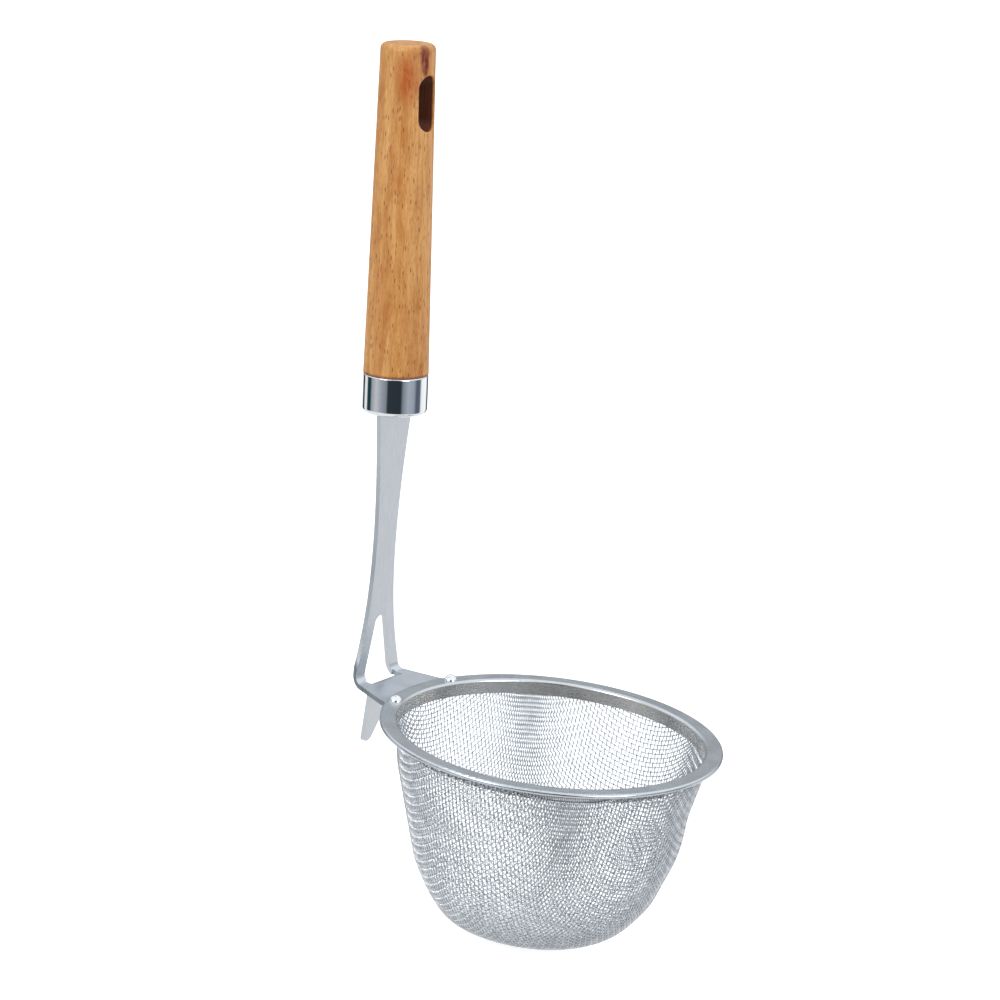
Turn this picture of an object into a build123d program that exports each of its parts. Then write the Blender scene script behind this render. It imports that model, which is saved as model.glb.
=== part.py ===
"""Long-handled noodle and tea strainer: woven wire basket in a pressed rim, riveted to a stamped
hook bracket that runs up into a ferruled wooden handle.

Millimetres. The pieces are drawn about the centre of the rim, with the rim's top face at z = 0 and
the handle towards -X, and are moved to the hook seat when they are written: the part's origin is the
place on the bracket's underside that rests on the edge of a pot. +X points from the handle to the
basket and +Z points up out of the basket.
"""
import os
from math import atan2, cos, radians, sin, sqrt, tan

from build123d import *

# ---- rim: one pressed strip, a collar inside and a rolled hem outside -----------------------------
rim_radius = 52.5            # over the rolled edge
collar_bore = 46.95          # inner radius of the collar
collar_depth = 4.6           # from the top face to the collar's lower edge
rim_sheet = 0.5
mesh_pressed = 0.45          # the cloth where it is squeezed in the hem
rim_height = 2 * rim_sheet + mesh_pressed
collar_corner = 0.9          # outside radius where the collar turns into the flange
hem_inner_radius = 49.3      # free edge of the hem under the flange
notch_clearance = 0.25       # each side of the bridge plate, where the hem is cut away for it

# ---- basket ---------------------------------------------------------------------------------------
cloth_thickness = 0.75       # two wires on top of each other
basket_depth = 66.2          # rim's top face to the lowest point
basket_top_radius = 48.25    # outside, just below the collar
side_draft = 14.4            # degrees from upright
shoulder_radius = 26.0       # side into bottom
bottom_radius = 58.0         # crown of the bottom
fold_radius = 0.35           # where the cloth turns out into the hem
cloth_gap = 0.03             # cloth to the strip round it

# ---- handle ---------------------------------------------------------------------------------------
handle_foot = (-70.3, 96.5)  # x, z of the grip's lower end on its axis
handle_lean = 4.62           # degrees back from upright
grip_length = 101.0
grip_foot_radius = 10.05
grip_top_radius = 8.35
grip_top_round = 1.8
slot_width, slot_length = 7.6, 17.0
slot_centre = 83.5           # above the grip's lower end
slot_edge_round = 0.5
grip_foot_bevel = 0.25
tenon_radius, tenon_length = 9.35, 11.2
tang_bore_radius, tang_bore_depth = 3.7, 40.0
tang_clearance = 0.1         # each side of the tang in the ferrule's slit

# ---- ferrule: a drawn cup over the tenon ----------------------------------------------------------
ferrule_length = 12.1
ferrule_wall = 0.65
ferrule_bottom = 0.7
ferrule_foot_round = 1.5
ferrule_lip_round = 0.5

# ---- bracket: one stamped sheet, neck, two legs, bridge plate and hook tongue ----------------------
sheet = 1.5
bridge_slope = 4.3           # degrees, rising from the rim to the bend
slope_start_x = -52.8        # just outside the rim
bend_x = -66.2               # where the middle planes of bridge and legs meet
bend_inside_radius = 2.5
# half width of the neck and legs against height
neck_outline = [(8.45, 85.0), (6.15, 65.0), (5.1, 41.0), (6.5, 22.0), (9.7, 7.5), (11.4, 2.2)]
bridge_half_width = 13.3     # at bridge_ref_x
bridge_ref_x = -60.0
bridge_flare = 0.368         # half width gained per mm towards the rim
bridge_end_radius = 48.55    # about the rim's centre, under the flange
tang_width = 7.0
tang_reach = 38.0            # above the grip's lower end
window_top, window_top_radius = 19.4, 3.0
window_foot_half_width = 7.0  # at the bend
tongue_root_x = -61.1        # where the tongue starts to turn down
tongue_corner_x = -62.4      # where the middle planes of bridge and tongue meet
tongue_inside_radius = 0.8
tongue_lean = 13.3           # degrees, away from the basket
tongue_tip_z = -22.4
tongue_root_half_width = 7.0
tongue_taper = 0.273         # half width lost per mm of drop
tongue_tip_radius = 1.9
relief_width = 0.8           # slit beside the tongue's root

# ---- rivets ---------------------------------------------------------------------------------------
rivet_circle_radius = 49.8
rivet_angle = 17.5           # degrees either side of the handle
rivet_shank_radius = 0.9
rivet_hole_radius = 0.95
rivet_head_radius, rivet_head_height = 2.1, 1.7
rivet_tail_radius, rivet_tail_height = 1.45, 0.7

# ---- worked out -----------------------------------------------------------------------------------
bridge_top = -rim_sheet - mesh_pressed
bridge_mid = bridge_top - sheet / 2
slope = tan(radians(bridge_slope))
reach = 200.0                # larger than the object, for cutting prisms


def bridge_mid_z(x):
    """Height of the bridge's middle plane at x, outside the rim."""
    return bridge_mid + slope * (slope_start_x - x)


hook_seat_x = (tongue_root_x - rim_radius) / 2 - 0.5
hook_seat_z = bridge_mid_z(hook_seat_x) - sheet / 2 / cos(radians(bridge_slope))
to_hook_seat = Location((-hook_seat_x, 0, -hook_seat_z))

lean = radians(handle_lean)
handle_plane = Plane(
    origin=(handle_foot[0], 0, handle_foot[1]),
    x_dir=(cos(lean), 0, sin(lean)),
    z_dir=(-sin(lean), 0, cos(lean)),
)


def on_handle(height):
    """Point on the handle's axis, as x, z."""
    return handle_foot[0] - height * sin(lean), handle_foot[1] + height * cos(lean)


def revolved(outline):
    """Full turn about Z of a closed outline given as radius, height."""
    return revolve(Plane.XZ * make_face(outline), axis=Axis.Z)


def prism_along_x(half, x_low, x_high):
    """Solid between two x planes. Its outline is given as y, z edges on the +Y side, from top to
    foot, and is mirrored and closed here."""
    other = [mirror(edge, Plane.YZ) for edge in half]
    ends = [(half[0] @ 0, other[0] @ 0), (half[-1] @ 1, other[-1] @ 1)]
    joins = [Line(a, b) for a, b in ends if (a - b).length > 1e-6]
    face = Plane.YZ * make_face(Curve() + half + other + joins)
    return Pos(x_low, 0, 0) * extrude(face, amount=x_high - x_low, dir=(1, 0, 0))


def make_rim_ring():
    """Collar, flange and rolled hem as one strip, notched where the bridge plate goes in."""
    roll = rim_height / 2
    roll_r = rim_radius - roll
    inner_roll = roll - rim_sheet
    collar_out = collar_bore + rim_sheet
    corner_in = collar_corner - rim_sheet
    flange_start = collar_bore + collar_corner

    outline = Curve() + [
        Line((collar_bore, -collar_depth), (collar_bore, -collar_corner)),
        RadiusArc((collar_bore, -collar_corner), (flange_start, 0), collar_corner),
        Line((flange_start, 0), (roll_r, 0)),
        ThreePointArc((roll_r, 0), (rim_radius, -roll), (roll_r, -rim_height)),
        Line((roll_r, -rim_height), (hem_inner_radius, -rim_height)),
        Line((hem_inner_radius, -rim_height), (hem_inner_radius, -rim_height + rim_sheet)),
        Line((hem_inner_radius, -rim_height + rim_sheet), (roll_r, -rim_height + rim_sheet)),
        ThreePointArc((roll_r, -rim_height + rim_sheet), (roll_r + inner_roll, -roll),
                      (roll_r, -rim_sheet)),
        Line((roll_r, -rim_sheet), (flange_start, -rim_sheet)),
        RadiusArc((flange_start, -rim_sheet), (collar_out, -collar_corner), -corner_in),
        Line((collar_out, -collar_corner), (collar_out, -collar_depth)),
        Line((collar_out, -collar_depth), (collar_bore, -collar_depth)),
    ]
    ring = revolved(outline)
    notch = bridge_prism(notch_clearance) - Cylinder(hem_inner_radius - 0.4, reach)
    notch &= Pos(0, 0, bridge_top - reach / 2) * Box(reach, reach, reach)
    ring -= notch
    return ring - rivet_holes()


def basket_side(inset):
    """Line, shoulder arc and bottom arc of the basket, inset from its outer surface, as edges that
    run from the collar to the axis."""
    a = radians(side_draft)
    along = (-sin(a), -cos(a))
    inward = (-cos(a), sin(a))
    start = (basket_top_radius + inward[0] * inset, -collar_depth + inward[1] * inset)
    shoulder = shoulder_radius - inset
    crown = bottom_radius - inset
    crown_z = -basket_depth + bottom_radius
    # the shoulder's centre is one radius in from the line and touches the crown from inside
    qx = start[0] + inward[0] * shoulder
    qz = start[1] + inward[1] * shoulder - crown_z
    b = qx * along[0] + qz * along[1]
    c = qx * qx + qz * qz - (crown - shoulder) ** 2
    run = -b + sqrt(b * b - c)
    cx, cz = qx + along[0] * run, qz + crown_z + along[1] * run
    line_end = (cx - inward[0] * shoulder, cz - inward[1] * shoulder)
    turn = atan2(cz - crown_z, cx)
    crown_start = (crown * cos(turn), crown_z + crown * sin(turn))
    middle = (atan2(-inward[1], -inward[0]) + turn) / 2
    shoulder_middle = (cx + shoulder * cos(middle), cz + shoulder * sin(middle))
    crown_middle = (turn - radians(90)) / 2
    crown_mid = (crown * cos(crown_middle), crown_z + crown * sin(crown_middle))
    foot = (0, -basket_depth + inset)

    return start, [
        Line(start, line_end),
        ThreePointArc(line_end, shoulder_middle, crown_start),
        ThreePointArc(crown_start, crown_mid, foot),
    ]


def make_mesh_basket():
    """The cloth as one closed shell of its own thickness, its edge turned out into the hem."""
    outer_start, outer = basket_side(0)
    inner_start, inner = basket_side(cloth_thickness)
    inner_r = collar_bore + rim_sheet + cloth_gap
    outer_r = basket_top_radius
    top = -rim_sheet - cloth_gap
    low = top - mesh_pressed + 2 * cloth_gap
    edge_r = rim_radius - rim_height / 2

    outline = Curve() + outer + [
        Line(outer_start, (outer_r, low - fold_radius)),
        RadiusArc((outer_r, low - fold_radius), (outer_r + fold_radius, low), fold_radius),
        Line((outer_r + fold_radius, low), (edge_r, low)),
        Line((edge_r, low), (edge_r, top)),
        Line((edge_r, top), (inner_r + collar_corner, top)),
        RadiusArc((inner_r + collar_corner, top), (inner_r, top - collar_corner),
                  -collar_corner),
        Line((inner_r, top - collar_corner), inner_start),
    ] + inner + [Line(inner[-1] @ 1, outer[-1] @ 1)]
    return revolved(outline) - rivet_holes()


def rivet_places():
    """x, y of the two rivets."""
    for side in (-1, 1):
        a = radians(180 - side * rivet_angle)
        yield rivet_circle_radius * cos(a), rivet_circle_radius * sin(a)


def rivet_holes():
    """Both drilled holes, through flange, cloth and bridge."""
    drill = Cylinder(rivet_hole_radius, 4 * rim_height)
    return [Pos(x, y, bridge_top) * drill for x, y in rivet_places()]


def dome(radius, height):
    """Cap of a sphere standing on z = 0."""
    ball = (radius * radius + height * height) / (2 * height)
    cap = Pos(0, 0, height - ball) * Sphere(ball)
    return cap & Pos(0, 0, reach / 2) * Box(reach, reach, reach)


def make_rivet(x, y):
    """Domed head on the flange, shank, and a smaller dome upset under the bridge."""
    grip = -bridge_top + sheet
    rivet = dome(rivet_head_radius, rivet_head_height)
    rivet += Pos(0, 0, -grip / 2) * Cylinder(rivet_shank_radius, grip)
    rivet += Pos(0, 0, -grip) * Rot(180, 0, 0) * dome(rivet_tail_radius, rivet_tail_height)
    return Pos(x, y, 0) * rivet


def bent_strip(points, radii, width):
    """Sheet of the bracket's thickness along a bent line given as x, z points."""
    line = Plane.XZ * FilletPolyline(*points, radius=radii)
    section = Plane(origin=line @ 0, x_dir=(0, 1, 0), z_dir=line % 0) * Rectangle(width, sheet)
    return sweep(section, path=line)


def bridge_prism(grow):
    """The bridge plate's flaring outline, grown sideways, as a tall prism."""
    def half(x):
        return bridge_half_width + bridge_flare * (x - bridge_ref_x) + grow

    near, far = bend_x - 4 * sheet, -40.0
    corners = [(near, -half(near)), (far, -half(far)), (far, half(far)), (near, half(near))]
    return extrude(make_face(Polyline(*corners, close=True)), amount=reach / 2, both=True)


def neck_prism():
    """Outline of the neck and legs seen along X, left wide below the bend and above the ferrule."""
    side = Spline(*neck_outline)
    top_y, foot_y = neck_outline[0][0], reach / 4
    low = neck_outline[-1][1]
    half = [
        Line((top_y, 150), neck_outline[0]),
        side,
        Line(neck_outline[-1], (foot_y, low)),
        Line((foot_y, low), (foot_y, -60)),
    ]
    return prism_along_x(half, -90, -40)


def window_prism():
    """The tapering window between the legs, down through the bend."""
    a_y = window_top_radius
    a_z = window_top - window_top_radius
    foot = -6.0
    half = [
        ThreePointArc((0, window_top), (a_y * sin(radians(45)), a_z + a_y * cos(radians(45))),
                      (a_y, a_z)),
        Line((a_y, a_z), (window_foot_half_width, 0)),
        Line((window_foot_half_width, 0), (window_foot_half_width, foot)),
    ]
    return prism_along_x(half, -75, bend_x + 2.0)


def window_in_bridge():
    """The window's wide end in the bridge, with a relief slit each side of the tongue's root."""
    half = tongue_root_half_width
    start = bend_x + 1.7
    length = tongue_root_x - start
    opening = Pos(start + length / 2, 0, 0) * Box(length, 2 * half, 20)
    for side in (-1, 1):
        slit = Pos(start + length / 2 - relief_width / 2, side * half, 0)
        opening += slit * Box(length - relief_width, 2 * relief_width, 20)
        end = Pos(tongue_root_x - relief_width, side * half, 0)
        opening += end * Cylinder(relief_width, 20)
    return opening


def make_tongue():
    """The tab cut from the window and turned down to hook behind a pot's wall."""
    drop = bridge_mid_z(tongue_corner_x) - tongue_tip_z
    tip_x = tongue_corner_x - drop * tan(radians(tongue_lean))
    root = (tongue_root_x + 0.2, bridge_mid_z(tongue_root_x + 0.2))
    strip = bent_strip([root, (tongue_corner_x, bridge_mid_z(tongue_corner_x)),
                        (tip_x, tongue_tip_z - 1)],
                       tongue_inside_radius + sheet / 2, 4 * tongue_root_half_width)
    top, wide = 2.0, tongue_root_half_width - 0.1
    r = tongue_tip_radius
    tip = tongue_tip_z
    taper_z = -3.0
    low_half = wide - tongue_taper * (taper_z - tip - r)
    half = [
        Line((wide, top), (wide, taper_z)),
        Line((wide, taper_z), (low_half, tip + r)),
        ThreePointArc((low_half, tip + r), (low_half * 0.72, tip + 0.3 * r), (0, tip)),
    ]
    return strip & prism_along_x(half, -80, -50)


def make_neck_bracket():
    """Tang, neck, legs, bend, bridge plate and tongue, all one sheet."""
    ferrule_foot = on_handle(-ferrule_length)
    strip = bent_strip(
        [(-40, bridge_mid), (slope_start_x, bridge_mid), (bend_x, bridge_mid_z(bend_x)),
         ferrule_foot, on_handle(tang_reach)],
        [30.0, bend_inside_radius + sheet / 2, 30.0], 80)
    body = strip & neck_prism() & bridge_prism(0)
    body -= Cylinder(bridge_end_radius, 40)
    body -= window_prism()
    body -= window_in_bridge()
    above = handle_plane * Pos(0, 0, -ferrule_length + 50) * Box(60, 60, 100)
    tang_room = handle_plane * Box(60, tang_width, reach)
    body -= above - tang_room
    body = body + make_tongue()
    body -= rivet_holes()
    return body


def slot_mouth(body):
    """Edges where the hanging slot breaks through the grip's surface, both sides."""
    low, high = slot_centre - slot_length / 2 - 0.1, slot_centre + slot_length / 2 + 0.1
    return [edge for edge in body.edges()
            if low < edge.center().Z < high and abs(edge.center().X) > grip_top_radius / 2]


def make_handle_grip():
    """Tapered beech grip with a tenon for the ferrule, a bore for the tang and a hanging slot."""
    points = [
        (0, -tenon_length), (tenon_radius, -tenon_length), (tenon_radius, 0),
        (grip_foot_radius - grip_foot_bevel, 0), (grip_foot_radius, grip_foot_bevel),
        (grip_top_radius, grip_length), (0, grip_length),
    ]
    body = revolved(Polyline(*points, close=True))
    rim = body.edges().filter_by(GeomType.CIRCLE).sort_by(Axis.Z)[-1]
    body = fillet(rim, grip_top_round)
    slot = Plane.YZ * SlotOverall(slot_length, slot_width, rotation=90)
    body -= Pos(0, 0, slot_centre) * extrude(slot, amount=2 * grip_foot_radius, both=True)
    body = fillet(slot_mouth(body), slot_edge_round)
    return handle_plane * (body - tang_bore())


def tang_bore():
    """The round hole up the middle of the tenon and the grip."""
    length = tang_bore_depth + tenon_length
    return Pos(0, 0, length / 2 - tenon_length) * Cylinder(tang_bore_radius, length)


def tang_shape():
    """The tang alone, as cut out of the glue."""
    length = tang_reach + ferrule_length
    return handle_plane * Pos(0, 0, length / 2 - ferrule_length) * Box(sheet, tang_width, length)


def make_tang_adhesive():
    """Resin that fills the bore round the flat tang."""
    return handle_plane * tang_bore() - tang_shape()


def outer_circles(body, radius):
    """Circular edges of that radius, from the lowest to the highest."""
    circles = body.edges().filter_by(GeomType.CIRCLE)
    return circles.filter_by(lambda edge: abs(edge.radius - radius) < 1e-6).sort_by(Axis.Z)


def make_ferrule():
    """Drawn cup with a rounded foot and a slit for the tang."""
    outer, inner = grip_foot_radius, grip_foot_radius - ferrule_wall
    foot = -ferrule_length
    points = [(0, foot), (outer, foot), (outer, 0), (inner, 0), (inner, foot + ferrule_bottom),
              (0, foot + ferrule_bottom)]
    cup = revolved(Polyline(*points, close=True))
    cup = fillet(outer_circles(cup, outer)[0], ferrule_foot_round)
    cup = fillet(outer_circles(cup, outer)[-1], ferrule_lip_round)
    slit = Box(sheet + 2 * tang_clearance, tang_width + 2 * tang_clearance, 4 * ferrule_bottom)
    cup -= Pos(0, 0, foot) * slit
    return handle_plane * cup


def write(name, shape):
    """One STEP file, moved to the hook seat."""
    export_step(shape.moved(to_hook_seat), f"parts/{name}.step")


os.makedirs("parts", exist_ok=True)
write("rim_ring", make_rim_ring())
write("mesh_basket", make_mesh_basket())
write("neck_bracket", make_neck_bracket())
for name, (x, y) in zip(("rivet_left", "rivet_right"), rivet_places()):
    write(name, make_rivet(x, y))
write("handle_grip", make_handle_grip())
write("tang_adhesive", make_tang_adhesive())
write("ferrule", make_ferrule())
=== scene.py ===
"""Looks for the long-handled wire strainer: woven basket, steel finishes, beech grip and a soft
studio.

Metres, in the part's own frame: the origin is the hook seat, +X points from the handle to the
basket and +Z points up out of the basket.
"""

from math import atan2, cos, pi, radians, sin, sqrt

import bmesh
import bpy
import numpy as np
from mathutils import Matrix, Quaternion, Vector


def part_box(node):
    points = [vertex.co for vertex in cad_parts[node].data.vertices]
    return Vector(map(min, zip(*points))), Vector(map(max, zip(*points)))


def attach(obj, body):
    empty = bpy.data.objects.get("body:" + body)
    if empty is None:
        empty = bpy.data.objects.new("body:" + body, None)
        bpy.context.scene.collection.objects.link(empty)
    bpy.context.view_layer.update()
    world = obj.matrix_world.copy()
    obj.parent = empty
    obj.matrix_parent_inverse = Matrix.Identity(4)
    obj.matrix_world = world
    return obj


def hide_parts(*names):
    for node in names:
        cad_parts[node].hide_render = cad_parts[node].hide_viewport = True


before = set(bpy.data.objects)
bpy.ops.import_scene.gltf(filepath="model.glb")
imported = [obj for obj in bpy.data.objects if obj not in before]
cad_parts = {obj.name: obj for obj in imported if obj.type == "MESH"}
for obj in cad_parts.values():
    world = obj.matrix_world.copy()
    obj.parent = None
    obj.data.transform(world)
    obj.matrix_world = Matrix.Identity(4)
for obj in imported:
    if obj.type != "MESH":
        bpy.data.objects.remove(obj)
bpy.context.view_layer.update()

MM = 0.001

# ---- places read from the frame ------------------------------------------------------------------
rim_low, rim_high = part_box("rim_ring")
basket_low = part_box("mesh_basket")[0]
rim_radius = (rim_high.y - rim_low.y) / 2
rim_centre = Vector((rim_high.x - rim_radius, 0, rim_high.z))
basket_depth = rim_high.z - basket_low.z

# ---- the basket's shape, as in the CAD model -----------------------------------------------------
collar_depth = rim_high.z - rim_low.z
basket_top_radius = 48.25 * MM
side_draft = radians(14.4)
shoulder_radius = 26.0 * MM
bottom_radius = 58.0 * MM
collar_bore = 46.95 * MM
hem_sheet = 0.5 * MM
hem_roll = 0.725 * MM          # outside radius of the rolled edge
collar_corner = 0.9 * MM       # outside radius where the collar turns into the flange
mesh_pressed = 0.45 * MM       # room for the cloth between the two layers of the hem
fold_bend = 0.7 * MM           # of the wires where they turn out into the hem
hem_wire_end = 51.0 * MM       # radius where the wires end, inside the rolled hem
net_top = 4.5 * MM             # above the rim's top face: this much cloth is folded away

# ---- woven cloth ---------------------------------------------------------------------------------
wire_diameter = 0.37 * MM
wire_pitch = 1.444 * MM        # about 18 wires to the inch
weave_turn = radians(-4.8)     # of the cloth, about the basket's axis
basket_lean = 0.021            # sideways per unit of depth, from forming by hand
# dents and bulges: heading, depth below the collar, half height, push outwards
dents = (
    (radians(32), 28.0 * MM, 15.0 * MM, 1.5 * MM),
    (radians(32), 49.0 * MM, 7.0 * MM, -0.6 * MM),
    (radians(212), 1.0 * MM, 10.0 * MM, -0.9 * MM),
    (radians(212), 45.0 * MM, 9.0 * MM, -0.8 * MM),
    (radians(212), 59.0 * MM, 9.0 * MM, 2.6 * MM),
)
dent_reach = 20.0 * MM
samples_per_cell = 3           # points along a wire from one crossing to the next
wire_sides = 6
wire_groups = 3                # pieces that each family of wires is split into
solver_steps = 12

# ---- handle --------------------------------------------------------------------------------------
handle_lean = radians(4.62)
handle_foot = Vector((-13.0, 0, 98.614)) * MM     # on the grip's axis, at its lower end
grip_radius_foot, grip_radius_top = 10.05 * MM, 8.35 * MM
grip_length = 101.0 * MM

# ---- camera --------------------------------------------------------------------------------------
view_azimuth, view_elevation, view_roll = radians(31.896), radians(16.172), radians(6.602)
view_distance = 1.19341
view_aim = Vector((0.029483, 0, 0.068711))
view_lens = 142.174

# ---- lights --------------------------------------------------------------------------------------
lit_spot = (0, 0, 0.08)
softbox_size = 0.9


# ---- shader helpers ------------------------------------------------------------------------------
def new_material(name):
    """A material with one Principled shader; returns it with its tree and shader."""
    material = bpy.data.materials.new(name)
    material.use_nodes = True
    tree = material.node_tree
    shader = tree.nodes["Principled BSDF"]
    return material, tree, shader


def node(tree, kind, inputs=None, **settings):
    """Adds a node. Inputs are values, or sockets to link."""
    made = tree.nodes.new(kind)
    for key, value in settings.items():
        setattr(made, key, value)
    for key, value in (inputs or {}).items():
        if isinstance(value, bpy.types.NodeSocket):
            tree.links.new(value, made.inputs[key])
        else:
            made.inputs[key].default_value = value
    return made


def math_node(tree, operation, a, b=0.0):
    return node(tree, "ShaderNodeMath", {0: a, 1: b}, operation=operation).outputs[0]


def vector_node(tree, operation, a, b=(0, 0, 0)):
    made = node(tree, "ShaderNodeVectorMath", {0: a, 1: b}, operation=operation)
    return made.outputs["Value" if operation in ("DOT_PRODUCT", "LENGTH") else "Vector"]


def fade(tree, value, low, high, to_low=0.0, to_high=1.0):
    """Smooth step of value from low to high."""
    made = node(tree, "ShaderNodeMapRange",
                {"Value": value, "From Min": low, "From Max": high, "To Min": to_low,
                 "To Max": to_high}, interpolation_type="SMOOTHSTEP")
    return made.outputs["Result"]


def mix_value(tree, factor, a, b):
    """Value a where factor is 0, b where it is 1."""
    return node(tree, "ShaderNodeMix", {0: factor, 2: a, 3: b}).outputs[0]


def mix_colour(tree, factor, a, b):
    """Colour a where factor is 0, b where it is 1."""
    made = node(tree, "ShaderNodeMix", {0: factor, 6: a, 7: b}, data_type="RGBA")
    return made.outputs[2]


def noise(tree, vector, scale, detail=3.0, roughness=0.5, distortion=0.0):
    """Noise from 0 to 1, scale cells to the unit of vector."""
    made = node(tree, "ShaderNodeTexNoise",
                {"Vector": vector, "Scale": scale, "Detail": detail, "Roughness": roughness,
                 "Distortion": distortion})
    return made.outputs["Fac"]


def bump(tree, shader, height, distance):
    """Relief as deep as distance where height goes from 0 to 1."""
    made = node(tree, "ShaderNodeBump", {"Height": height, "Distance": distance, "Strength": 1.0})
    tree.links.new(made.outputs["Normal"], shader.inputs["Normal"])


def srgb(r, g, b):
    """Linear colour from 8-bit display values."""
    def linear(v):
        v /= 255
        return v / 12.92 if v <= 0.04045 else ((v + 0.055) / 1.055) ** 2.4
    return (linear(r), linear(g), linear(b), 1.0)


def darker(colour, factor):
    """The colour with its channels times factor."""
    return tuple(c * factor for c in colour[:3]) + (1,)


def set_finish(shader, **values):
    """Sets uniform shader inputs. An underscore in a name stands for a space."""
    for key, value in values.items():
        shader.inputs[key.replace("_", " ")].default_value = value


def object_place(tree):
    """Object coordinates, which are the part's own frame in metres."""
    return node(tree, "ShaderNodeTexCoord").outputs["Object"]


# ---- materials -----------------------------------------------------------------------------------
def satin_steel(name, colour, base_roughness, streak_axis=None, about=None, warm_tint_inside=None):
    """Satin stainless steel. Brushing runs along an axis, or round a vertical line at about. Nearer
    to that line than warm_tint_inside it is a warmer grey."""
    material, tree, shader = new_material(name)
    set_finish(shader, Metallic=1.0)
    place = object_place(tree)
    # streaks to the metre, or to the radian round the line
    if about is not None:
        offset = vector_node(tree, "SUBTRACT", place, tuple(about))
        parts = node(tree, "ShaderNodeSeparateXYZ", {0: offset}).outputs
        angle = math_node(tree, "ARCTAN2", parts["Y"], parts["X"])
        flat = node(tree, "ShaderNodeCombineXYZ", {"X": parts["X"], "Y": parts["Y"]}).outputs[0]
        reach = vector_node(tree, "LENGTH", flat)
        across, round_line = 9000.0, 6.0
        grain = node(tree, "ShaderNodeCombineXYZ",
                     {"X": math_node(tree, "MULTIPLY", reach, across),
                      "Y": math_node(tree, "MULTIPLY", angle, round_line),
                      "Z": math_node(tree, "MULTIPLY", parts["Z"], across)}).outputs[0]
    else:
        along, across = 60.0, 5000.0
        scale = [across] * 3
        scale[streak_axis] = along
        grain = vector_node(tree, "MULTIPLY", place, tuple(scale))
    streaks = noise(tree, grain, 1.0, 2.0)
    clouds = noise(tree, place, 130.0, 4.0)
    specks = noise(tree, place, 2600.0, 2.0)
    tint = mix_colour(tree, fade(tree, clouds, 0.3, 0.7),
                      darker(colour, 0.93), colour)
    tint = mix_colour(tree, fade(tree, streaks, 0.25, 0.75, 0.0, 0.07), tint,
                      (0.25, 0.26, 0.27, 1))
    if warm_tint_inside is not None:
        # a lighter, warmer grey base colour on the ring nearer the axis than the collar's bore
        warm_grey = (0.68, 0.66, 0.63, 1)
        inside = fade(tree, reach, warm_tint_inside + 0.3 * MM, warm_tint_inside)
        tint = mix_colour(tree, inside, tint, warm_grey)
    tree.links.new(tint, shader.inputs["Base Color"])
    rough = math_node(tree, "ADD", fade(tree, streaks, 0.2, 0.8, base_roughness - 0.05,
                                        base_roughness + 0.05),
                      fade(tree, clouds, 0.3, 0.7, -0.02, 0.03))
    tree.links.new(rough, shader.inputs["Roughness"])
    height = math_node(tree, "ADD", math_node(tree, "MULTIPLY", streaks, 0.6),
                       math_node(tree, "MULTIPLY", specks, 0.4))
    bump(tree, shader, height, 0.005 * MM)
    return material


def polished_steel(name, colour, base_roughness, ripple):
    """Mirror-polished steel with a faint ripple, in metres, from drawing."""
    material, tree, shader = new_material(name)
    set_finish(shader, Metallic=1.0)
    place = object_place(tree)
    wave = noise(tree, place, 220.0, 1.0)
    haze = noise(tree, place, 900.0, 3.0)
    tint = mix_colour(tree, fade(tree, haze, 0.3, 0.7, 0.0, 0.25), colour, darker(colour, 0.88))
    tree.links.new(tint, shader.inputs["Base Color"])
    tree.links.new(fade(tree, haze, 0.3, 0.8, base_roughness, base_roughness + 0.06),
                   shader.inputs["Roughness"])
    bump(tree, shader, wave, ripple)
    return material


def drawn_wire(name):
    """Bright drawn stainless wire, a little dull where the forming tool rubbed it."""
    material, tree, shader = new_material(name)
    set_finish(shader, Metallic=1.0)
    place = object_place(tree)
    patches = noise(tree, place, 320.0, 3.0)
    fine = noise(tree, place, 4200.0, 2.0)
    tint = mix_colour(tree, fade(tree, patches, 0.3, 0.7), srgb(194, 198, 202),
                      srgb(216, 219, 223))
    tree.links.new(tint, shader.inputs["Base Color"])
    tree.links.new(fade(tree, fine, 0.3, 0.7, 0.16, 0.26), shader.inputs["Roughness"])
    bump(tree, shader, fine, 0.01 * MM)
    return material


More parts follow.
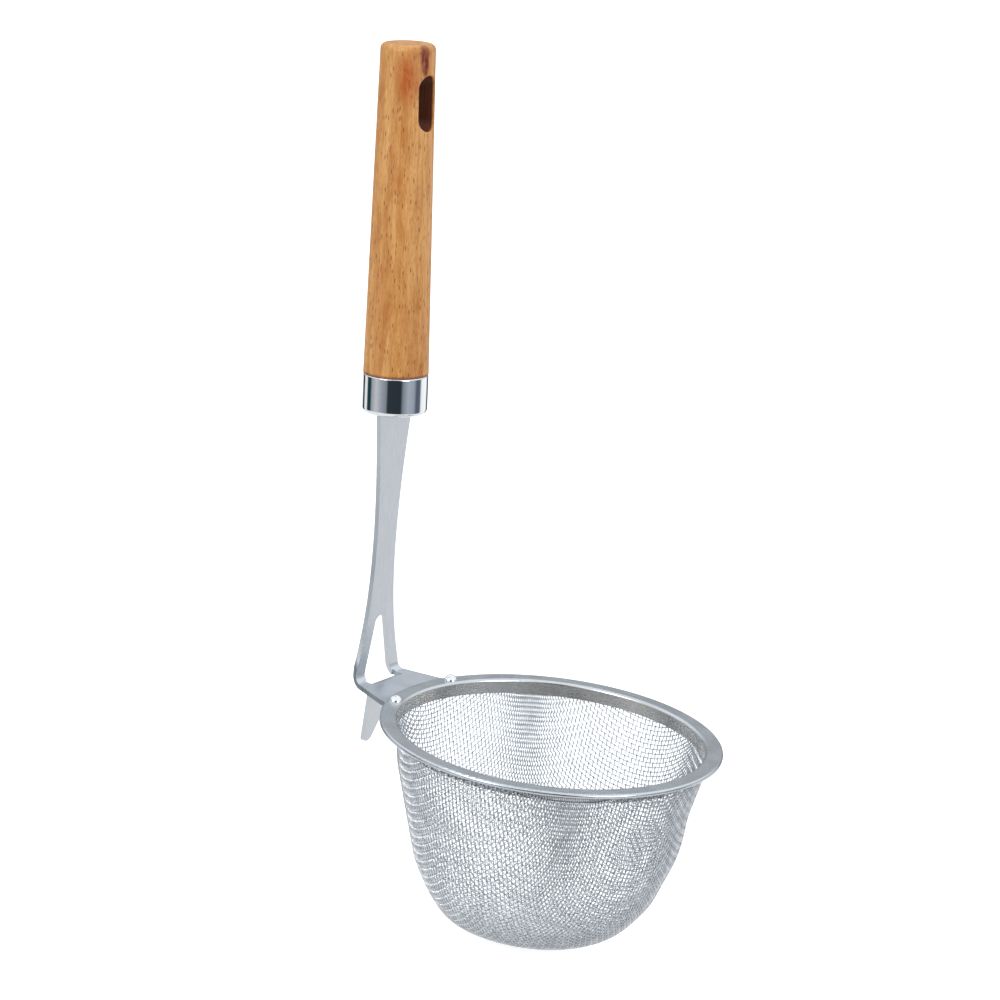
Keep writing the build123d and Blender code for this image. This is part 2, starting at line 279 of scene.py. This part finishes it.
def beech_wood(name):
    """Oiled beech: short dark rays and pores along the grain, soft figure, a red-brown patch and a
    dark streak near the top."""
    material, tree, shader = new_material(name)
    place = object_place(tree)
    # grip coordinates: z along the axis from its foot, x to the front, in metres
    shifted = vector_node(tree, "SUBTRACT", place, tuple(handle_foot))
    turned = node(tree, "ShaderNodeVectorRotate",
                  {"Vector": shifted, "Axis": (0, 1, 0), "Angle": handle_lean}).outputs[0]
    parts = node(tree, "ShaderNodeSeparateXYZ", {0: turned}).outputs
    # the grain wanders sideways a little
    wander = node(tree, "ShaderNodeTexNoise",
                  {"Vector": vector_node(tree, "MULTIPLY", turned, (70.0, 70.0, 34.0)),
                   "Scale": 1.0, "Detail": 1.0}).outputs["Color"]
    wander = vector_node(tree, "SUBTRACT", wander, (0.5, 0.5, 0.5))
    wandering = vector_node(tree, "ADD", turned,
                            vector_node(tree, "MULTIPLY", wander, (4 * MM, 4 * MM, 0.0)))

    def grain(across, along, shift=(0, 0, 0)):
        moved = vector_node(tree, "ADD", wandering, shift)
        return vector_node(tree, "MULTIPLY", moved, (across, across, along))

    figure = noise(tree, grain(300.0, 30.0), 1.0, 4.0, 0.6, 0.5)
    fibre = noise(tree, grain(2600.0, 120.0), 1.0, 3.0, 0.65)
    bands = noise(tree, grain(520.0, 14.0, (0.3, 0.1, 0.2)), 1.0, 2.0, 0.5, 0.9)
    cloud = noise(tree, vector_node(tree, "MULTIPLY", turned, (330.0, 330.0, 150.0)), 1.0, 3.0, 0.6)
    colour = mix_colour(tree, fade(tree, figure, 0.30, 0.66), srgb(224, 168, 100),
                        srgb(190, 124, 58))
    colour = mix_colour(tree, fade(tree, bands, 0.42, 0.72, 0.0, 0.6), colour,
                        srgb(180, 108, 44))
    colour = mix_colour(tree, fade(tree, cloud, 0.35, 0.70, 0.30, 0.0), colour,
                        srgb(234, 182, 116))
    colour = mix_colour(tree, fade(tree, fibre, 0.35, 0.75, 0.0, 0.45), colour,
                        srgb(164, 96, 40))
    # ray flecks: short dark spindles along the grain
    cells = node(tree, "ShaderNodeTexVoronoi",
                 {"Vector": grain(1250.0, 300.0), "Scale": 1.0, "Randomness": 1.0})
    chance = node(tree, "ShaderNodeSeparateColor", {0: cells.outputs["Color"]}).outputs[0]
    fleck = math_node(tree, "MULTIPLY", fade(tree, cells.outputs["Distance"], 0.34, 0.14),
                      fade(tree, chance, 0.30, 0.70))
    colour = mix_colour(tree, math_node(tree, "MULTIPLY", fleck, 0.72), colour,
                        srgb(122, 56, 20))
    pores = node(tree, "ShaderNodeTexVoronoi",
                 {"Vector": grain(2300.0, 430.0, (0.01, 0.02, 0.03)), "Scale": 1.0})
    pore = fade(tree, pores.outputs["Distance"], 0.36, 0.12)
    colour = mix_colour(tree, math_node(tree, "MULTIPLY", pore, 0.34), colour,
                        srgb(124, 62, 30))

    def patch(centre, size, soft=0.7):
        """1 inside an ellipsoid about centre, in grip coordinates, fading to 0."""
        away = vector_node(tree, "SUBTRACT", wandering, centre)
        away = vector_node(tree, "DIVIDE", away, size)
        return fade(tree, vector_node(tree, "LENGTH", away), 1.0, 1.0 - soft)

    ragged = fade(tree, noise(tree, grain(700.0, 260.0), 1.0, 3.0, 0.65), 0.30, 0.62, 0.55, 1.0)
    warm = patch((5.0 * MM, -7.2 * MM, 91.0 * MM), (5.5 * MM, 4.5 * MM, 11.0 * MM), 0.9)
    colour = mix_colour(tree, math_node(tree, "MULTIPLY", warm, ragged), colour,
                        srgb(172, 76, 16))
    streak = patch((8.3 * MM, -2.2 * MM, 97.5 * MM), (3.0 * MM, 2.3 * MM, 9.0 * MM), 0.55)
    colour = mix_colour(tree, math_node(tree, "MULTIPLY", streak, ragged), colour,
                        srgb(112, 26, 5))
    knot = patch((5.4 * MM, -6.8 * MM, 81.0 * MM), (0.7 * MM, 0.6 * MM, 0.55 * MM), 0.6)
    colour = mix_colour(tree, knot, colour, srgb(96, 42, 20))
    # painted shadow: a dark red-brown line along the grip's foot, where it meets the ferrule
    foot = fade(tree, parts["Z"], 1.1 * MM, 0.2 * MM, 0.0, 0.7)
    colour = mix_colour(tree, foot, colour, srgb(112, 42, 18))
    # painted shade: the slot and the end of the bore are darkened inside, where shade falls in the
    # recess
    flat = node(tree, "ShaderNodeCombineXYZ", {"X": parts["X"], "Y": parts["Y"]}).outputs[0]
    wall = fade(tree, parts["Z"], 0.0, grip_length, grip_radius_foot, grip_radius_top)
    depth = math_node(tree, "SUBTRACT", wall, vector_node(tree, "LENGTH", flat))
    slot_shade_mask = math_node(tree, "MULTIPLY", fade(tree, depth, 0.35 * MM, 0.9 * MM),
                        fade(tree, parts["Z"], grip_length - 3.0 * MM, grip_length - 6.0 * MM))
    # painted shade colour for the inside of the slot and bore, a dark brown
    slot_shade_colour = mix_colour(tree, fade(tree, fibre, 0.3, 0.7), srgb(122, 68, 44), srgb(92, 48, 30))
    colour = mix_colour(tree, slot_shade_mask, colour, slot_shade_colour)
    tree.links.new(colour, shader.inputs["Base Color"])
    rough = fade(tree, fibre, 0.2, 0.8, 0.38, 0.52)
    rough = math_node(tree, "ADD", rough, math_node(tree, "MULTIPLY", fleck, 0.12))
    tree.links.new(rough, shader.inputs["Roughness"])
    set_finish(shader, Specular_IOR_Level=0.4, Coat_Weight=0.08, Coat_Roughness=0.35)
    height = math_node(tree, "SUBTRACT", math_node(tree, "MULTIPLY", fibre, 0.35),
                       math_node(tree, "ADD", fleck, math_node(tree, "MULTIPLY", pore, 0.6)))
    bump(tree, shader, height, 0.03 * MM)
    return material


def cured_resin(name):
    """Pale matt resin."""
    material, tree, shader = new_material(name)
    cloud = noise(tree, object_place(tree), 700.0, 3.0)
    tree.links.new(mix_colour(tree, cloud, srgb(178, 160, 118), srgb(196, 182, 142)),
                   shader.inputs["Base Color"])
    tree.links.new(fade(tree, cloud, 0.3, 0.7, 0.5, 0.7), shader.inputs["Roughness"])
    return material


# ---- woven basket --------------------------------------------------------------------------------
def basket_profile():
    """The cloth's middle surface: centres and limits of the bottom, the shoulder and the side."""
    inset = wire_diameter
    along = np.array((-sin(side_draft), -cos(side_draft)))
    inward = np.array((-cos(side_draft), sin(side_draft)))
    start = np.array((basket_top_radius, -collar_depth)) + inward * inset
    shoulder, crown = shoulder_radius - inset, bottom_radius - inset
    crown_z = -basket_depth + bottom_radius
    q = start + inward * shoulder - np.array((0, crown_z))
    b = q @ along
    run = -b + sqrt(b * b - (q @ q - (crown - shoulder) ** 2))
    centre = q + np.array((0, crown_z)) + along * run
    return {"start": start, "side_normal": -inward, "side_up": -along, "shoulder": shoulder,
            "shoulder_centre": centre, "crown": crown, "crown_z": crown_z,
            "turn": atan2(centre[1] - crown_z, centre[0])}


def distance_and_normal(points, shape):
    """Signed distance of points from the middle surface, with outward normals. Above the collar's
    foot the surface is upright."""
    rho, z = np.hypot(points[:, 0], points[:, 1]), points[:, 2]
    cx, cz = shape["shoulder_centre"]
    dr, dz = rho - cx, z - cz
    from_shoulder = np.hypot(dr, dz)
    from_crown = np.hypot(rho, z - shape["crown_z"])
    nx, nz = shape["side_normal"]
    ux, uz = shape["side_up"]
    sx, sz = shape["start"]
    on_crown = np.arctan2(z - shape["crown_z"], rho) < shape["turn"]
    on_side = ~on_crown & (dr * ux + dz * uz > 0)
    on_top = z > sz
    choice = [on_top, on_crown, on_side]
    distance = np.select(
        choice, [rho - sx, from_crown - shape["crown"], (rho - sx) * nx + (z - sz) * nz],
        from_shoulder - shape["shoulder"])
    radial = np.select(choice, [np.ones_like(z), rho / from_crown, np.full_like(z, nx)],
                       dr / from_shoulder)
    rise = np.select(choice, [np.zeros_like(z), (z - shape["crown_z"]) / from_crown,
                              np.full_like(z, nz)], dz / from_shoulder)
    safe = np.maximum(rho, 1e-9)
    return distance, np.stack([radial * points[:, 0] / safe, radial * points[:, 1] / safe, rise], 1)


def first_wire(shape):
    """Crossings along the wire that runs from the lowest point up one side, one pitch apart."""
    line = [np.array((0.0, 0.0, -basket_depth + wire_diameter))]
    step = np.array((wire_pitch, 0.0, 0.0))
    while line[-1][2] < net_top:
        point = line[-1] + step
        for _ in range(solver_steps):
            distance, normal = distance_and_normal(point[None], shape)
            point = point - distance[0] * normal[0]
            step = point - line[-1]
            step *= wire_pitch / np.linalg.norm(step)
            point = line[-1] + step
        line.append(point)
    return np.array(line)


def next_crossings(a, b, guess, shape):
    """Points on the surface one pitch from a and from b."""
    point = guess
    for _ in range(solver_steps):
        distance, normal = distance_and_normal(point, shape)
        miss = np.stack([((point - a) ** 2).sum(1) - wire_pitch ** 2,
                         ((point - b) ** 2).sum(1) - wire_pitch ** 2, distance], 1)
        slopes = np.stack([2 * (point - a), 2 * (point - b), normal], 1)
        step = np.linalg.solve(slopes, miss[:, :, None])[:, :, 0]
        size = np.linalg.norm(step, axis=1, keepdims=True)
        point = point - step * np.minimum(1, 0.5 * wire_pitch / np.maximum(size, 1e-12))
    return point


def drawn_net():
    """Crossings of the cloth drawn into the basket. The wires don't stretch, so the square cells
    shear into rhombs on the diagonals. Returns the grid of crossings over all four quarters."""
    shape = basket_profile()
    side = first_wire(shape)
    n = len(side)
    quarter = np.full((n, n, 3), np.nan)
    quarter[:, 0] = side
    quarter[0, :] = side[:, (1, 0, 2)]
    for total in range(2, 2 * n - 1):
        i = np.arange(max(1, total - n + 1), min(n, total))
        j = total - i
        a, b, back = quarter[i - 1, j], quarter[i, j - 1], quarter[i - 1, j - 1]
        known = ~np.isnan(a + b + back).any(1)
        i, j, a, b, back = i[known], j[known], a[known], b[known], back[known]
        if len(i):
            found = next_crossings(a, b, a + b - back, shape)
            found[found[:, 2] > net_top] = np.nan
            quarter[i, j] = found
    grid = np.full((2 * n - 1, 2 * n - 1, 3), np.nan)
    ways = ((1, slice(n - 1, None)), (-1, slice(n - 1, None, -1)))
    for x_side, rows in ways:
        for y_side, columns in ways:
            grid[rows, columns] = quarter * (x_side, y_side, 1)
    return grid, shape


def fold_into_hem(points):
    """Bends what stands above the fold outwards, between the flange and the hem."""
    fold = -hem_sheet - mesh_pressed / 2 - fold_bend
    rho = np.hypot(points[:, 0], points[:, 1])
    extra = np.maximum(points[:, 2] - fold, 0)
    angle = np.minimum(extra / fold_bend, pi / 2)
    outward = fold_bend * (1 - np.cos(angle)) + np.maximum(extra - fold_bend * pi / 2, 0)
    height = np.where(extra > 0, fold + fold_bend * np.sin(angle), points[:, 2])
    scale = (rho + outward) / np.maximum(rho, 1e-9)
    return np.stack([points[:, 0] * scale, points[:, 1] * scale, height], 1)


def wire_line(crossings, signs, shape):
    """Centre line of one wire through its crossings, over and under the wires it meets."""
    count = len(crossings)
    ends = np.concatenate([2 * crossings[:1] - crossings[1:2], crossings,
                           2 * crossings[-1:] - crossings[-2:-1]])
    steps = np.arange(samples_per_cell) / samples_per_cell
    a, b, c, d = (ends[k:k + count - 1, None] for k in range(4))
    t = steps[None, :, None]
    smooth = 0.5 * (2 * b + (c - a) * t + (2 * a - 5 * b + 4 * c - d) * t ** 2
                    + (3 * b - a - 3 * c + d) * t ** 3)
    line = np.concatenate([smooth.reshape(-1, 3), crossings[-1:]])
    wave = (signs[:-1, None] * np.cos(pi * steps)[None]).ravel()
    wave = np.append(wave, signs[-1])
    distance, normal = distance_and_normal(line, shape)
    line = line - distance[:, None] * normal
    line = line + normal * (wave * wire_diameter / 2)[:, None]
    return fold_into_hem(line)


def tubes(lines):
    """Vertices and faces of round wires along lines."""
    turns = 2 * pi * np.arange(wire_sides) / wire_sides
    vertices, faces, start = [], [], 0
    around = np.arange(wire_sides)
    for line in lines:
        tangent = np.gradient(line, axis=0)
        tangent /= np.linalg.norm(tangent, axis=1, keepdims=True)
        up = np.stack([line[:, 0], line[:, 1], line[:, 2] + basket_depth - bottom_radius], 1)
        side = np.cross(tangent, up)
        side /= np.linalg.norm(side, axis=1, keepdims=True)
        up = np.cross(side, tangent)
        ring = (np.cos(turns)[None, :, None] * side[:, None]
                + np.sin(turns)[None, :, None] * up[:, None]) * wire_diameter / 2
        vertices.append((line[:, None] + ring).reshape(-1, 3))
        first = start + wire_sides * np.arange(len(line) - 1)[:, None]
        near, far = first + around, first + (around + 1) % wire_sides
        faces += np.stack([near, far, far + wire_sides, near + wire_sides], 2).reshape(
            -1, 4).tolist()
        last = start + wire_sides * (len(line) - 1)
        faces += [(start + around)[::-1].tolist(), (last + around).tolist()]
        start += wire_sides * len(line)
    return np.concatenate(vertices), faces


def basket_wires(grid, shape, family):
    """Lines of all the wires of one family. Family 0 keeps the first index, family 1 the second."""
    lines = []
    for index in range(grid.shape[0]):
        row = grid[index] if family == 0 else grid[:, index]
        there = np.flatnonzero(~np.isnan(row[:, 0]))
        if len(there) < 2:
            continue
        over = np.where((index + there) % 2 == 0, 1.0, -1.0) * (1 if family == 0 else -1)
        line = wire_line(row[there], over, shape)
        inside = np.flatnonzero(np.hypot(line[:, 0], line[:, 1]) < hem_wire_end)
        if len(inside) >= 4 * samples_per_cell:
            lines.append(line[inside[0]:inside[-1] + 1])
    return lines


def to_row_frame(points):
    """Turns the cloth about the basket's axis, dents and leans it, and moves it under the rim. A
    dent fades out towards the axis, inside dent_reach."""
    depth = -collar_depth - points[:, 2]
    reach = np.hypot(points[:, 0], points[:, 1])
    angle = np.arctan2(points[:, 1], points[:, 0]) + weave_turn
    for heading, level, half_height, push in dents:
        near = 0.5 + 0.5 * np.cos(pi * np.clip((depth - level) / half_height, -1, 1))
        facing = np.maximum(np.cos(angle - heading), 0) ** 2
        reach = reach + push * near * facing * np.minimum(reach / dent_reach, 1)
    x = reach * np.cos(angle) + basket_lean * np.maximum(depth, 0)
    return np.stack([x, reach * np.sin(angle), points[:, 2]], 1) + np.array(rim_centre)


def mesh_object(name, vertices, faces, material, smooth=True):
    mesh = bpy.data.meshes.new(name)
    mesh.from_pydata(np.asarray(vertices).tolist(), [], faces)
    mesh.update()
    if smooth:
        mesh.shade_smooth()
    mesh.materials.append(material)
    made = bpy.data.objects.new(name, mesh)
    bpy.context.scene.collection.objects.link(made)
    return made


def make_basket(material):
    """Warp and weft, each in groups of neighbouring wires."""
    grid, shape = drawn_net()
    for family, name in enumerate(("warp", "weft")):
        lines = basket_wires(grid, shape, family)
        for group in range(wire_groups):
            low = group * len(lines) // wire_groups
            high = (group + 1) * len(lines) // wire_groups
            vertices, faces = tubes(lines[low:high])
            piece = mesh_object(f"mesh_{name}_wires_{group + 1}", to_row_frame(vertices), faces,
                                material)
            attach(piece, "root")
            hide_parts("mesh_basket")


# ---- pieces that stand for CAD nodes -------------------------------------------------------------
def stand_in(mesh, material, cad_node):
    """A piece with the mesh's name, shown instead of a CAD node."""
    mesh.materials.clear()
    mesh.materials.append(material)
    piece = bpy.data.objects.new(mesh.name, mesh)
    bpy.context.scene.collection.objects.link(piece)
    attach(piece, "root")
    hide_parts(cad_node)
    return piece


def make_bracket(material):
    """The CAD bracket with its stamped edges rolled over a little."""
    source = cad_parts["neck_bracket"]
    shape = bmesh.new()
    shape.from_mesh(source.data)
    bmesh.ops.remove_doubles(shape, verts=shape.verts, dist=0.002 * MM)
    bmesh.ops.dissolve_limit(shape, angle_limit=radians(0.6), verts=shape.verts,
                             edges=shape.edges)
    sharp = [e for e in shape.edges
             if len(e.link_faces) == 2 and e.calc_face_angle() > radians(32)]
    bmesh.ops.bevel(shape, geom=sharp, offset=0.2 * MM, segments=3, profile=0.5,
                    affect="EDGES", clamp_overlap=True)
    mesh = bpy.data.meshes.new("neck_bracket_stamped")
    shape.to_mesh(mesh)
    shape.free()
    mesh.shade_smooth()
    piece = stand_in(mesh, material, "neck_bracket")
    weighted = piece.modifiers.new("face weights", "WEIGHTED_NORMAL")
    weighted.keep_sharp = True


def rim_normals(mesh):
    """The true surface direction at every face corner of the ring. Its rolled edge, its corner and
    its collar are round, the rest is flat."""
    normals = []
    roll = (rim_radius - hem_roll, -hem_roll)
    corner = (collar_bore + collar_corner, -collar_corner)
    for face in mesh.polygons:
        facing = face.normal
        middle = face.center - rim_centre
        reach = middle.xy.length
        outward = Vector((middle.x, middle.y, 0)) / reach
        if reach > roll[0] + 0.01 * MM:
            about = roll
        elif reach < corner[0] and middle.z > corner[1]:
            about = corner
        else:
            about = None
        for index in face.vertices:
            place = mesh.vertices[index].co - rim_centre
            radial = Vector((place.x, place.y, 0)).normalized()
            if about is not None:
                direction = (radial * (place.xy.length - about[0])
                             + Vector((0, 0, place.z - about[1]))).normalized()
            elif abs(facing.dot(outward)) > 0.98:
                direction = radial
            else:
                direction = facing
            agreement = direction.dot(facing)
            if abs(agreement) < 0.6:      # a cut face across the round
                normals.append(facing.copy())
            else:
                normals.append(direction if agreement > 0 else -direction)
    return normals


def make_rim(material):
    """The CAD ring, shaded as the round strip it is."""
    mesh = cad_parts["rim_ring"].data.copy()
    mesh.name = "rim_ring_pressed"
    mesh.shade_smooth()
    mesh.normals_split_custom_set(rim_normals(mesh))
    stand_in(mesh, material, "rim_ring")


def repaint(name, material):
    """A CAD node keeps its shape and takes a better material."""
    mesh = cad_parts[name].data
    mesh.materials.clear()
    mesh.materials.append(material)


# ---- studio --------------------------------------------------------------------------------------
def make_studio():
    """White room with dark flags near the horizon, as a world: the metal shows them as bands."""
    world = bpy.data.worlds.new("studio")
    bpy.context.scene.world = world
    world.use_nodes = True
    tree = world.node_tree
    background = tree.nodes["Background"]
    direction = node(tree, "ShaderNodeTexCoord").outputs["Generated"]
    heading = view_azimuth - pi / 2
    turned = node(tree, "ShaderNodeVectorRotate",
                  {"Vector": direction, "Axis": (0, 0, 1), "Angle": -heading}).outputs[0]
    parts = node(tree, "ShaderNodeSeparateXYZ", {0: turned}).outputs
    turn = math_node(tree, "ARCTAN2", parts["Y"], parts["X"])
    place = math_node(tree, "ADD", math_node(tree, "DIVIDE", turn, 2 * pi), 0.5)
    height = parts["Z"]
    # the room near the horizon: degrees from the camera's heading, and the brightness there
    band = [
        (-180, (0.90, 0.90, 0.90)), (-152, (0.90, 0.90, 0.90)), (-148, (0.03, 0.03, 0.03)),
        (-134, (0.03, 0.03, 0.03)), (-129, (0.95, 0.95, 0.95)), (-115, (0.90, 0.92, 0.94)),
        (-109, (0.01, 0.05, 0.06)), (-93, (0.02, 0.05, 0.06)), (-88, (0.34, 0.36, 0.38)),
        (-66, (0.60, 0.62, 0.64)), (-45, (0.36, 0.39, 0.43)), (-27, (0.24, 0.26, 0.29)),
        (-22, (0.030, 0.040, 0.050)), (24, (0.025, 0.035, 0.045)), (31, (0.22, 0.25, 0.28)),
        (50, (0.42, 0.46, 0.52)), (72, (0.36, 0.40, 0.47)), (84, (0.10, 0.12, 0.16)),
        (100, (0.12, 0.15, 0.19)), (108, (1.05, 1.05, 1.05)), (140, (1.15, 1.15, 1.15)),
        (147, (0.10, 0.12, 0.14)), (165, (0.15, 0.16, 0.18)), (172, (0.90, 0.90, 0.90)),
    ]
    ramp = node(tree, "ShaderNodeValToRGB", {"Fac": place})
    stops = ramp.color_ramp.elements
    for index, (degrees_off, shade) in enumerate(band):
        at = (degrees_off + 180) / 360
        stop = stops[index] if index < 2 else stops.new(at)
        stop.position, stop.color = at, shade + (1,)
    # behind the object the wall is grey to well above the horizon
    behind = fade(tree, parts["X"], -0.70, -0.90)
    wall = fade(tree, height, 0.32, 0.50, 0.38, 1.0)
    open_sky = fade(tree, height, 0.08, 0.55, 0.55, 1.22)
    sky = mix_value(tree, behind, open_sky, wall)
    sky = node(tree, "ShaderNodeCombineColor",
               {0: math_node(tree, "MULTIPLY", sky, 0.96), 1: sky,
                2: math_node(tree, "MULTIPLY", sky, 1.04)}).outputs[0]
    colour = mix_colour(tree, fade(tree, height, -0.06, 0.02), ramp.outputs["Color"], sky)
    colour = mix_colour(tree, fade(tree, height, -0.38, -0.46), colour, (0.96, 0.96, 0.96, 1))
    # the dark shape of the camera and its stand
    stand = fade(tree, turn, radians(-22), radians(-8))
    stand = math_node(tree, "MULTIPLY", stand, fade(tree, turn, radians(26), radians(12)))
    stand = math_node(tree, "MULTIPLY", stand, fade(tree, height, -0.05, 0.05))
    stand = math_node(tree, "MULTIPLY", stand, fade(tree, height, 0.62, 0.50))
    colour = mix_colour(tree, stand, colour, (0.05, 0.06, 0.07, 1))
    tree.links.new(colour, background.inputs["Color"])
    background.inputs["Strength"].default_value = 1.0


def backdrop(name, points, faces, grain_size, glow, smooth):
    """A pale surface that only the camera sees, so it neither lights nor shades the object."""
    material, tree, shader = new_material("pale_" + name)
    grain = noise(tree, object_place(tree), grain_size, 2.0)
    tree.links.new(mix_colour(tree, grain, (0.90, 0.90, 0.90, 1), (0.93, 0.93, 0.93, 1)),
                   shader.inputs["Base Color"])
    set_finish(shader, Roughness=0.9, Emission_Color=(1, 1, 1, 1), Emission_Strength=glow)
    surface = mesh_object(name, points, faces, material, smooth)
    surface.visible_glossy = False
    surface.visible_diffuse = False
    surface.visible_shadow = False


def make_floor_and_wall():
    """The floor just under the basket, and a wall all round, so no view shows a horizon."""
    size, sides = 6.0, 64
    z = basket_low.z - 0.05 * MM
    backdrop("floor", [(-size, -size, z), (size, -size, z), (size, size, z), (-size, size, z)],
             [(0, 1, 2, 3)], 60.0, 0.45, False)
    turns = [2 * pi * k / sides for k in range(sides)]
    ring = [(size * cos(a), size * sin(a)) for a in turns]
    points = [(x, y, z) for x, y in ring] + [(x, y, size) for x, y in ring]
    faces = [(k, (k + 1) % sides, sides + (k + 1) % sides, sides + k) for k in range(sides)]
    backdrop("backdrop_wall", points, faces, 8.0, 1.0, True)


def area_light(name, place, target, size, power):
    """A round softbox at place that faces target."""
    data = bpy.data.lights.new(name, "AREA")
    data.shape, data.size, data.energy = "DISK", size, power
    lamp = bpy.data.objects.new(name, data)
    lamp.location = place
    lamp.rotation_mode = "QUATERNION"
    lamp.rotation_quaternion = (Vector(target) - Vector(place)).to_track_quat("-Z", "Y")
    bpy.context.scene.collection.objects.link(lamp)


def make_camera():
    """A camera that looks at view_aim, turned a little about its own axis."""
    back = Vector((sin(view_azimuth) * cos(view_elevation),
                   -cos(view_azimuth) * cos(view_elevation), sin(view_elevation)))
    data = bpy.data.cameras.new("camera")
    data.lens = view_lens
    data.sensor_width = 36.0
    data.clip_start, data.clip_end = 0.01, 50.0
    camera = bpy.data.objects.new("camera", data)
    bpy.context.scene.collection.objects.link(camera)
    camera.location = view_aim + back * view_distance
    camera.rotation_mode = "QUATERNION"
    level = (-back).to_track_quat("-Z", "Y")
    camera.rotation_quaternion = level @ Quaternion((0, 0, 1), view_roll)
    bpy.context.scene.camera = camera


make_camera()
make_studio()
make_floor_and_wall()
area_light("left_softbox", (-0.45, -1.85, 0.95), lit_spot, softbox_size, 12.0)
area_light("right_softbox", (1.85, -0.45, 0.75), lit_spot, softbox_size, 10.0)
bpy.context.scene.view_settings.view_transform = "Standard"

make_basket(drawn_wire("drawn_wire"))
make_bracket(satin_steel("bracket_satin", srgb(205, 210, 216), 0.30, streak_axis=2))
make_rim(satin_steel("rim_satin", srgb(202, 207, 212), 0.24, about=rim_centre,
                     warm_tint_inside=collar_bore))
for side in ("rivet_left", "rivet_right"):
    repaint(side, polished_steel("rivet_polish_" + side[6:], srgb(226, 228, 231), 0.08,
                                 0.004 * MM))
repaint("ferrule", polished_steel("ferrule_polish", srgb(232, 235, 238), 0.05, 0.006 * MM))
repaint("handle_grip", beech_wood("beech"))
repaint("tang_adhesive", cured_resin("resin"))
